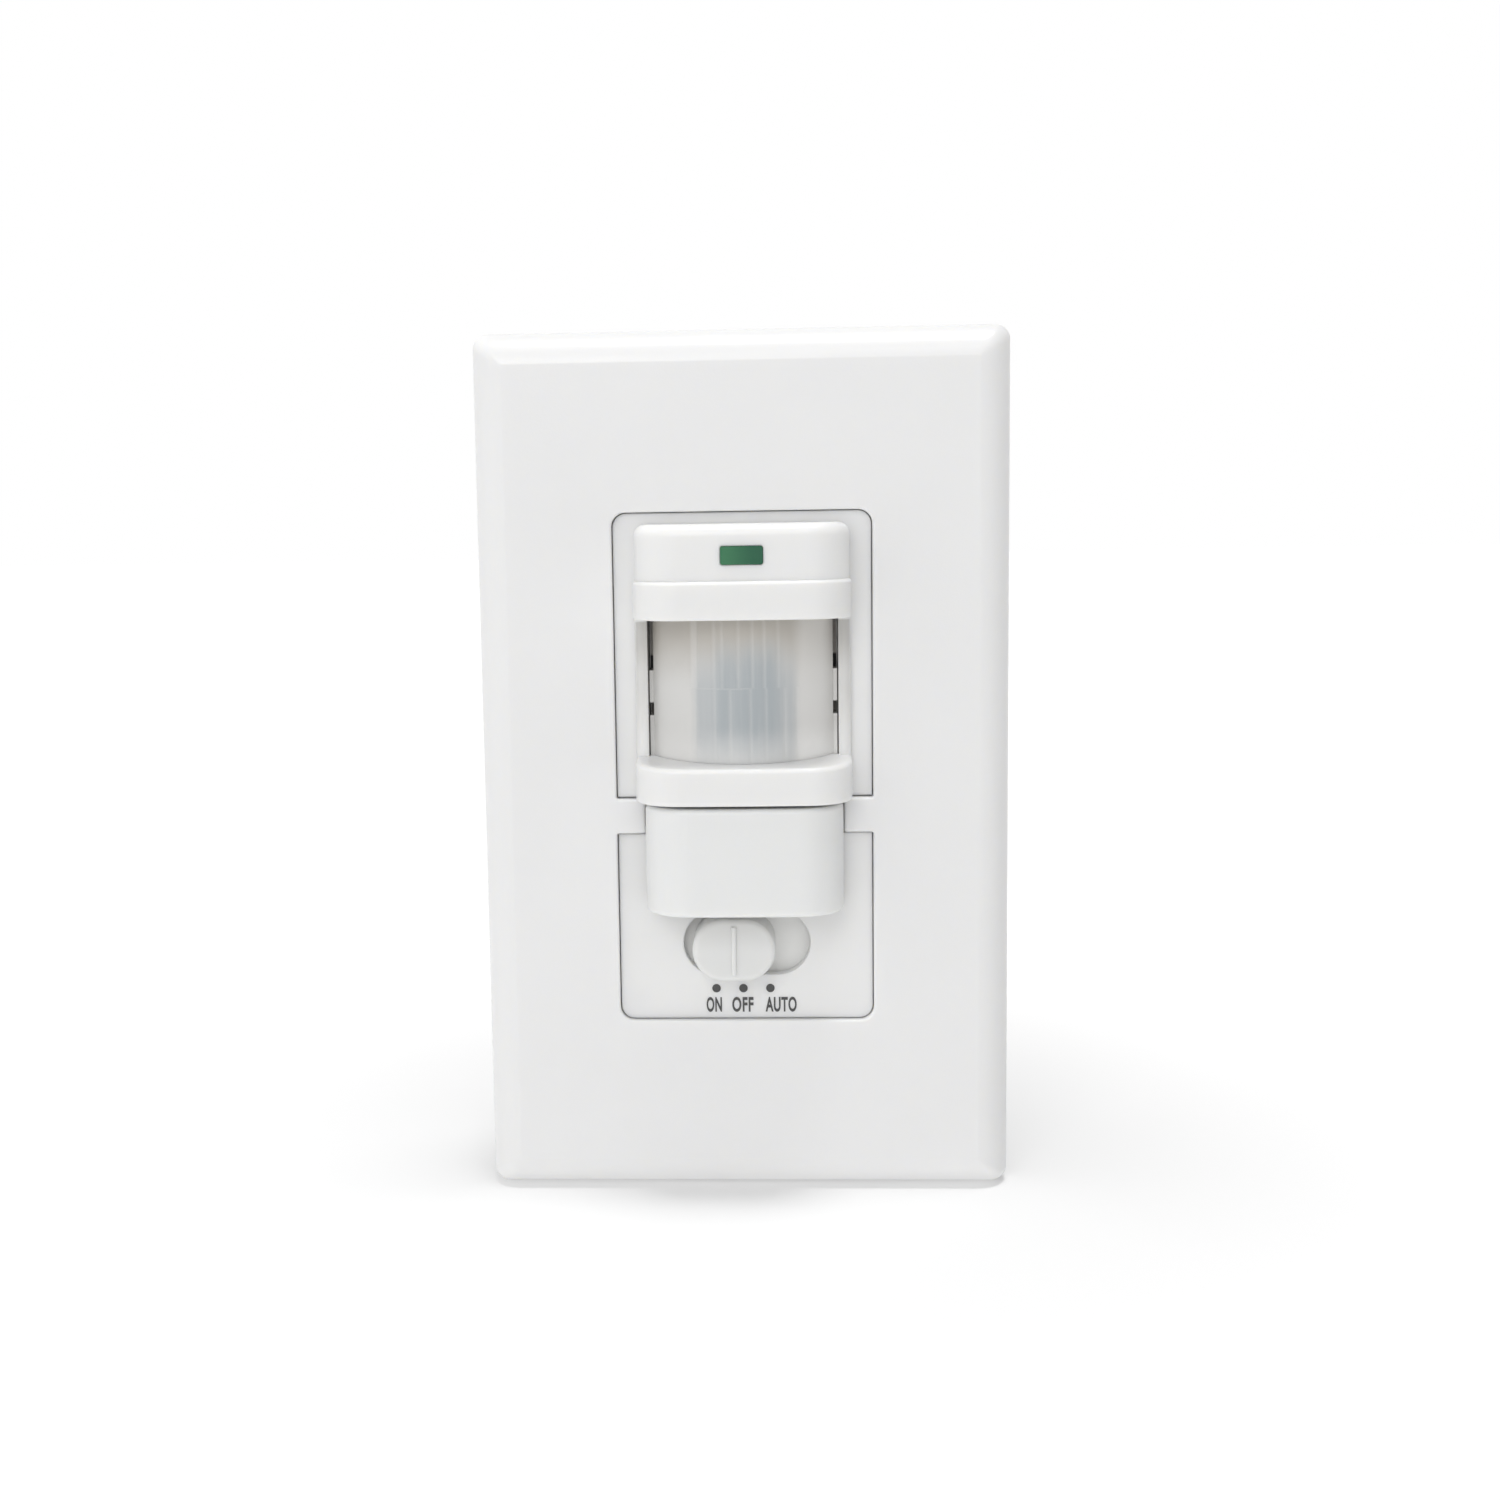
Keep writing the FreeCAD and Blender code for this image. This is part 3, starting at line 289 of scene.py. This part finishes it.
# the lens is milky: what lies behind it shows as a soft blue-grey core, crossed by its segments' lines;
# the hood's shadow is painted across its top, and light bounced up from the ledge is painted as a paler
# foot
lensLook = {
    "pale": (0.62, 0.615, 0.60),
    # painted shade: the hood's shadow across the lens's top
    "paintedHoodShade": (0.43, 0.405, 0.365),
    "core": (0.45, 0.47, 0.48),
    "deep": (0.35, 0.385, 0.405),
    "bright": (0.72, 0.71, 0.69),
    # painted light: the lens's foot, lit by light bounced up from the ledge, palest at its lower right
    "low": (0.84, 0.835, 0.82),
    "paintedBounceRight": (0.97, 0.965, 0.95),
    "hoodShade": (0.0105, 0.0195),
    "waverScale": 260.0,
    "waver": (0.0007, 0.0016),  # how far the tints' edges wander, across and upwards
    "ribScale": 900.0,
    "ribStretch": (1.0, 0.05, 0.05),
    "ribDepth": 0.4,
    "rough": (0.15, 0.3),  # how much varies from rib to rib, and how much stays
    "coreSides": (-0.0062, 0.0068),
    "coreEdge": 0.0008,
    "coreTop": (0.0105, 0.0178),
    "coreRibs": (0.6, 0.66),  # again the part that varies and the part that stays
    "deepSides": (-0.0034, 0.0048),
    "deepSpan": (0.0040, 0.0162),
    "deepEdges": (0.0009, 0.0026),
    "deepRibs": (1.2, 0.25),
    "deepShow": 0.8,
    "rightSide": (0.0060, 0.0082),
    "rightShow": 0.5,
    # heights of the painted bounce light at the lens's foot, and how strongly it shows
    "paintedBounceFoot": (-0.0002, 0.0068),
    "paintedBounceShow": 0.64,
    "paintedBounceRightShow": 0.8,
    "upperLines": (-0.0036, -0.0026, -0.0005, 0.0013, 0.0028, 0.0046),
    "lowerLines": (-0.0062, -0.0036, -0.0016, 0.0010, 0.0030, 0.0054, 0.0070),
    "lineHalf": 0.00019,
    "lineShow": 0.15,
    "band": (-0.0066, -0.0058),
    "bandEdge": 0.0002,
    "bandShow": 1.5,
    "tier": 0.0112,
    "tierHalf": 0.0001,
    "tierSides": (-0.0068, 0.0014),
    "grain": 0.00003,
    "coat": 0.25,
    "coatRough": 0.15,
}


def lineSet(wire, value, places, half):
    total = between(wire, value, places[0] - half, places[0] + half, half)
    for place in places[1:]:
        total = wire.math("MAXIMUM", total, between(wire, value, place - half, place + half, half))
    return total


def lensTint(wire, side, height, ribs):
    look = lensLook
    right = softStep(wire, side, *look["rightSide"])
    # painted light bounced up from the ledge onto the lens's foot
    paintedBounceFoot = 1 - softStep(wire, height, *look["paintedBounceFoot"])
    middle = between(wire, side, *look["coreSides"], look["coreEdge"])
    middle = middle * (1 - softStep(wire, height, *look["coreTop"]))
    varied, steady = look["coreRibs"]
    core = wire.math("MULTIPLY", middle, ribs * varied + steady, clamp=True)
    sideEdge, heightEdge = look["deepEdges"]
    depth = between(wire, side, *look["deepSides"], sideEdge)
    depth = depth * between(wire, height, *look["deepSpan"], heightEdge)
    varied, steady = look["deepRibs"]
    deep = wire.math("MULTIPLY", depth, ribs * varied + steady, clamp=True)
    layers = (
        (right * look["rightShow"], "bright"),
        (core, "core"),
        (deep * look["deepShow"], "deep"),
        # the last two layers are painted bounce light at the foot and its lower right
        (paintedBounceFoot * look["paintedBounceShow"], "low"),
        (paintedBounceFoot * right * look["paintedBounceRightShow"], "paintedBounceRight"),
    )
    # painted shade of the hood across the lens's top
    tint = wire.mix(softStep(wire, height, *look["hoodShade"]), rgba(look["pale"]), rgba(look["paintedHoodShade"]))
    for strength, colour in layers:
        tint = wire.mix(strength, tint, rgba(look[colour]))
    return tint


def lensCuts(wire, column, row):  # two tiers of segments, with a broad band at the upper one's left
    look = lensLook
    tier, half = look["tier"], look["tierHalf"]
    upperTier = softStep(wire, row, tier - half, tier + half)
    lower = lineSet(wire, column, look["lowerLines"], look["lineHalf"])
    upper = lineSet(wire, column, look["upperLines"], look["lineHalf"])
    seams = wire.mix(upperTier, lower, upper)
    step = lineSet(wire, row, (tier,), half) * between(wire, column, *look["tierSides"], look["coreEdge"])
    band = between(wire, column, *look["band"], look["bandEdge"]) * upperTier
    return wire.math("MAXIMUM", wire.math("MAXIMUM", seams, step), band * look["bandShow"])


def milkyLens():
    finish, wire = newFinish("milky lens")
    place = objectPlace(wire)
    look = lensLook
    column, row = across(wire, place), upwards(wire, place)
    waver = noise(wire, place, look["waverScale"], detail=4.0, rough=0.6) - 0.5
    sideWaver, heightWaver = look["waver"]
    ribs = noise(wire, place, look["ribScale"], detail=3.0, rough=0.7, stretch=look["ribStretch"])
    varied, steady = look["rough"]
    cuts = lensCuts(wire, column, row)
    tint = lensTint(wire, column + waver * sideWaver, row + waver * heightWaver, ribs)
    return closeFinish(finish, wire, {
        "Base Color": wire.mix(cuts * look["lineShow"], tint, rgba(look["bright"])),
        "Roughness": ribs * varied + steady,
        "Normal": bump(wire, ribs * look["ribDepth"] - cuts, look["grain"]),
        "Coat Weight": look["coat"],
        "Coat Roughness": look["coatRough"],
    })


paint("lens", milkyLens())

# the black carrier shows in the slits beside the lens: it is painted pale all over as light caught in the
# slits, with dark painted shade where the slits are open and deep
carrierLook = {
    # painted light: the black carrier is given this pale tone
    "pale": (0.75, 0.72, 0.67),
    # painted shade where the slits are open
    "paintedSlitShade": (0.02, 0.02, 0.02),
    "longSlit": (0.0131, 0.0150),
    "shortSlit": (0.0066, 0.0089),
    "shortShow": 0.45,
    "edge": 0.0002,
    "rough": 0.55,
}


def slitShade(wire, tint):
    look = carrierLook
    height = upwards(wire, objectPlace(wire))
    longSlitShade = between(wire, height, *look["longSlit"], look["edge"])
    shortSlitShade = between(wire, height, *look["shortSlit"], look["edge"])
    # painted shade in the open slits over the carrier's painted pale tone
    return wire.mix(longSlitShade + shortSlitShade * look["shortShow"], tint, rgba(look["paintedSlitShade"]))


paint("lens_frame", mouldedPlastic("carrier", carrierLook["pale"], carrierLook["rough"], shade=slitShade))
print("lens and window painted")

plainPlastics = {
    "plate_adapter": ("adapter white", (0.7, 0.7, 0.69), 0.45),
    "rear_housing": ("casing grey", (0.085, 0.09, 0.095), 0.5),
    "screw_retainers": ("red fibre", (0.42, 0.14, 0.07), 0.7),
    "insulating_sheet": ("film", (0.72, 0.72, 0.64), 0.4),
    "board_spacers": ("nylon", (0.74, 0.74, 0.7), 0.4),
    "board_header": ("header black", (0.03, 0.03, 0.032), 0.5),
    "switch_body": ("switch black", (0.03, 0.03, 0.032), 0.5),
    "switch_slider": ("slider black", (0.05, 0.05, 0.05), 0.4),
    "time_trimmer": ("trimmer blue", (0.05, 0.1, 0.36), 0.45),
    "time_dial": ("dial blue", (0.1, 0.17, 0.32), 0.4),
    "relay": ("relay black", (0.03, 0.03, 0.035), 0.35),
    "film_capacitor": ("capacitor yellow", (0.6, 0.42, 0.06), 0.4),
    "filter_capacitor": ("sleeve", (0.03, 0.03, 0.09), 0.25),
    "varistor": ("epoxy blue", (0.06, 0.15, 0.45), 0.3),
    "status_led": ("lamp green", (0.2, 0.5, 0.25), 0.3),
    "photocell": ("photocell coat", (0.5, 0.16, 0.08), 0.2),
    "sensor_board": ("solder mask", (0.02, 0.16, 0.07), 0.35),
}
plainSkin = {"cloud": 0.06, "grain": 0.00003, "grainScale": 2500.0, "ease": 0.0002}
for node, (name, colour, rough) in plainPlastics.items():
    paint(node, mouldedPlastic(name, colour, rough, **plainSkin))
paintTwins({
    "light_trimmer": "time_trimmer",
    "range_trimmer": "time_trimmer",
    "light_dial": "time_dial",
    "range_dial": "time_dial",
    "power_board": "sensor_board",
})

# each metal's last value stretches its drawn lines
metals = {
    "mounting_strap": ("zinc plate", (0.60, 0.60, 0.585), 0.34, (1.0, 1.0, 0.05)),
    "box_screws": ("zinc screw", (0.58, 0.58, 0.57), 0.3, (1.0, 0.3, 1.0)),
    "ground_screw": ("green screw", (0.04, 0.26, 0.1), 0.35, (1.0, 0.3, 1.0)),
    "line_terminal": ("brass", (0.68, 0.5, 0.22), 0.3, (0.3, 1.0, 1.0)),
    "pir_detector": ("bright can", (0.66, 0.66, 0.66), 0.22, (1.0, 0.3, 1.0)),
}
for node, facts in metals.items():
    paint(node, plateMetal(*facts))
paintTwins({
    "adapter_screws": "box_screws",
    "housing_screws": "box_screws",
    "load_terminal": "line_terminal",
    "line_screw": "line_terminal",
    "load_screw": "line_terminal",
})
print("inner parts painted")

# the printed words and dots; each word has its middle and its width
label = {
    "face": -0.005,
    "proud": 0.00001,
    "height": 0.00205,
    "base": -0.03285,
    "words": (("ON", -0.00438, 0.00205), ("OFF", -0.00055, 0.00285), ("AUTO", 0.00456, 0.00415)),
    "heavy": 0.03,
    "spacing": 1.1,
    "curveSteps": 8,
    "dots": (-0.00405, -0.00045, 0.00315),
    "dotBase": -0.0296,
    "dotSize": 0.00115,
    "dotCorners": 40,
    "ink": (0.05, 0.05, 0.05),
    "fade": 1.6,
    "speckleScale": 5000.0,
    "rough": (0.2, 0.45),  # how much follows the speckle, and how much stays
}
standing = Matrix.Rotation(math.radians(90), 4, "X")


def addToScene(made):
    bpy.context.scene.collection.objects.link(made)
    return made


def meshFrom(work, name):
    shape = bpy.data.meshes.new(name)
    work.to_mesh(shape)
    work.free()
    return shape


def addPrint(piece, shape, finish):
    made = addToScene(bpy.data.objects.new(piece, shape))
    shape.materials.clear()
    shape.materials.append(finish)
    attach(made, "base")


def printedInk():
    finish, wire = newFinish("printed ink")
    speckle = noise(wire, objectPlace(wire), label["speckleScale"], detail=3.0, rough=0.7)
    varied, steady = label["rough"]
    tint = wire.mix(speckle, rgba(label["ink"]), rgba(scaled(label["ink"], label["fade"])))
    return closeFinish(finish, wire, {"Base Color": tint, "Roughness": speckle * varied + steady})


def addWord(word, middle, width, finish):
    letters = bpy.data.curves.new("letters", "FONT")
    letters.body = word
    letters.align_x = "CENTER"
    letters.space_character = label["spacing"]
    letters.offset = label["heavy"]
    letters.extrude = 0.5
    letters.resolution_u = label["curveSteps"]
    holder = addToScene(bpy.data.objects.new("letters", letters))
    bpy.context.view_layer.update()
    shape = bpy.data.meshes.new_from_object(holder)
    bpy.data.objects.remove(holder)
    xs = [corner.co.x for corner in shape.vertices]
    ys = [corner.co.y for corner in shape.vertices]
    wide, tall = max(xs) - min(xs), max(ys) - min(ys)
    centre = (max(xs) + min(xs)) / 2
    size = Matrix.Diagonal((width / wide, label["height"] / tall, label["proud"], 1.0))
    shape.transform(size @ Matrix.Translation((-centre, -min(ys), 0.5)))
    shape.transform(Matrix.Translation((middle, label["face"], label["base"])) @ standing)
    addPrint("label_" + word.lower(), shape, finish)


def addDots(finish):
    work = bmesh.new()
    radius = label["dotSize"] / 2
    front = label["face"] - label["proud"] / 2
    for middle in label["dots"]:
        place = Matrix.Translation((middle, front, label["dotBase"])) @ standing
        bmesh.ops.create_cone(work, cap_ends=True, segments=label["dotCorners"], radius1=radius,
                              radius2=radius, depth=label["proud"], matrix=place)
    addPrint("label_dots", meshFrom(work, "label_dots"), finish)


ink = printedInk()
for word, middle, width in label["words"]:
    addWord(word, middle, width, ink)
addDots(ink)
print("labels printed")

view = {
    "place": (0.0041, -0.2621, 0.03521),
    "turn": (82.7758, 0.9284, 2.8201),
    "shift": 0.05,
    "lens": 47.222,
    "sensor": 36.0,
    "near": 0.005,
}


def addCamera():
    eye = bpy.data.cameras.new("camera")
    eye.lens = view["lens"]
    eye.sensor_width = view["sensor"]
    eye.sensor_fit = "HORIZONTAL"
    eye.shift_x = view["shift"]
    eye.clip_start = view["near"]
    holder = addToScene(bpy.data.objects.new("camera", eye))
    holder.location = view["place"]
    holder.rotation_euler = [math.radians(part) for part in view["turn"]]
    bpy.context.scene.camera = holder


studio = {
    "ambient": 0.775,
    "lean": (-0.12, -0.1, -0.22),  # how much brighter the room is towards each side
    "flag": {"toward": (0.95, 0.25, 0.0), "edges": (0.35, 0.75), "dim": 0.9, "least": 0.02},
    "floorSize": 3.0,
    "floorColour": 0.88,
    "paler": (0.04, 0.17),  # the floor turns white between these distances from the part's middle
    "farGlow": 1.1,
    "bounceColour": 0.35,
    "bounceLift": 0.6,
    "overhead": {"from": (0.09, -0.03, 0.99), "spread": 17, "level": 1.45},
    "lamps": {
        "left": {"place": (-0.2, -0.8, 0.43), "aim": (0, 0, 0), "size": (0.4, 0.4), "power": 1.5},
        "strip": {"place": (0.13, -0.55, 0.62), "aim": (0, 0, 0.057), "size": (0.3, 0.05), "power": 0.2},
    },
}


def whiteRays(wire):  # the rays that see a plain white room
    names = ("Is Camera Ray", "Is Glossy Ray", "Is Transmission Ray")
    rays = [wire.node("LightPath", out=name) for name in names]
    return wire.math("ADD", rays[0] + rays[1], rays[2], clamp=True)


def towards(wire, direction, way):
    return wire.node("VectorMath", {"operation": "DOT_PRODUCT"}, {0: direction, 1: way}, out="Value")


def addWorld():
    world = bpy.data.worlds.new("studio")
    world.use_nodes = True
    world.node_tree.nodes.clear()
    wire = Wire(world.node_tree)
    direction = wire.node("TexCoord", out="Generated")
    flag = studio["flag"]
    beside = softStep(wire, towards(wire, direction, flag["toward"]), *flag["edges"])
    level = towards(wire, direction, studio["lean"]) + studio["ambient"] - beside * flag["dim"]
    level = wire.math("MAXIMUM", level, flag["least"])
    room = wire.node("Background", inputs={"Color": rgba(1.0), "Strength": level})
    white = wire.node("Background", inputs={"Color": rgba(1.0), "Strength": 1.0})
    both = wire.node("MixShader", inputs={0: whiteRays(wire), 1: room, 2: white})
    wire.node("OutputWorld", inputs={"Surface": both})
    bpy.context.scene.world = world


def floorFinish():
    finish, wire = newFinish("floor")
    away = wire.node("VectorMath", {"operation": "LENGTH"}, {0: objectPlace(wire)}, out="Value")
    near = wire.node("BsdfDiffuse", inputs={"Color": rgba(studio["floorColour"])})
    far = wire.node("Emission", inputs={"Color": rgba(1.0), "Strength": studio["farGlow"]})
    seen = wire.node("MixShader", inputs={0: softStep(wire, away, *studio["paler"]), 1: near, 2: far})
    matte = wire.node("BsdfDiffuse", inputs={"Color": rgba(studio["bounceColour"])})
    lift = wire.node("Emission", inputs={"Color": rgba(1.0), "Strength": studio["bounceLift"]})
    bounce = wire.node("AddShader", inputs={0: matte, 1: lift})
    both = wire.node("MixShader", inputs={0: whiteRays(wire), 1: bounce, 2: seen})
    wire.node("OutputMaterial", inputs={"Surface": both})
    return finish


def addFloor():
    work = bmesh.new()
    under = Matrix.Translation((0, 0, cadBounds[0][2]))
    bmesh.ops.create_grid(work, x_segments=1, y_segments=1, size=studio["floorSize"], matrix=under)
    shape = meshFrom(work, "floor")
    shape.materials.append(floorFinish())
    floor = addToScene(bpy.data.objects.new("floor", shape))


def pointAlong(holder, way):
    holder.rotation_euler = way.to_track_quat("-Z", "Y").to_euler()


def addLamp(name, facts):
    light = bpy.data.lights.new(name, "AREA")
    light.shape = "RECTANGLE"
    light.size, light.size_y = facts["size"]
    light.energy = facts["power"]
    holder = addToScene(bpy.data.objects.new(name, light))
    holder.location = facts["place"]
    pointAlong(holder, Vector(facts["aim"]) - Vector(facts["place"]))


def addOverhead():
    facts = studio["overhead"]
    light = bpy.data.lights.new("overhead", "SUN")
    light.energy = facts["level"]
    light.angle = math.radians(facts["spread"])
    pointAlong(addToScene(bpy.data.objects.new("overhead", light)), -Vector(facts["from"]))


addCamera()
addWorld()
addOverhead()
addFloor()
for name, facts in studio["lamps"].items():
    addLamp(name, facts)
bpy.context.scene.view_settings.view_transform = "Standard"
print("studio set")

bpy.context.view_layer.update()
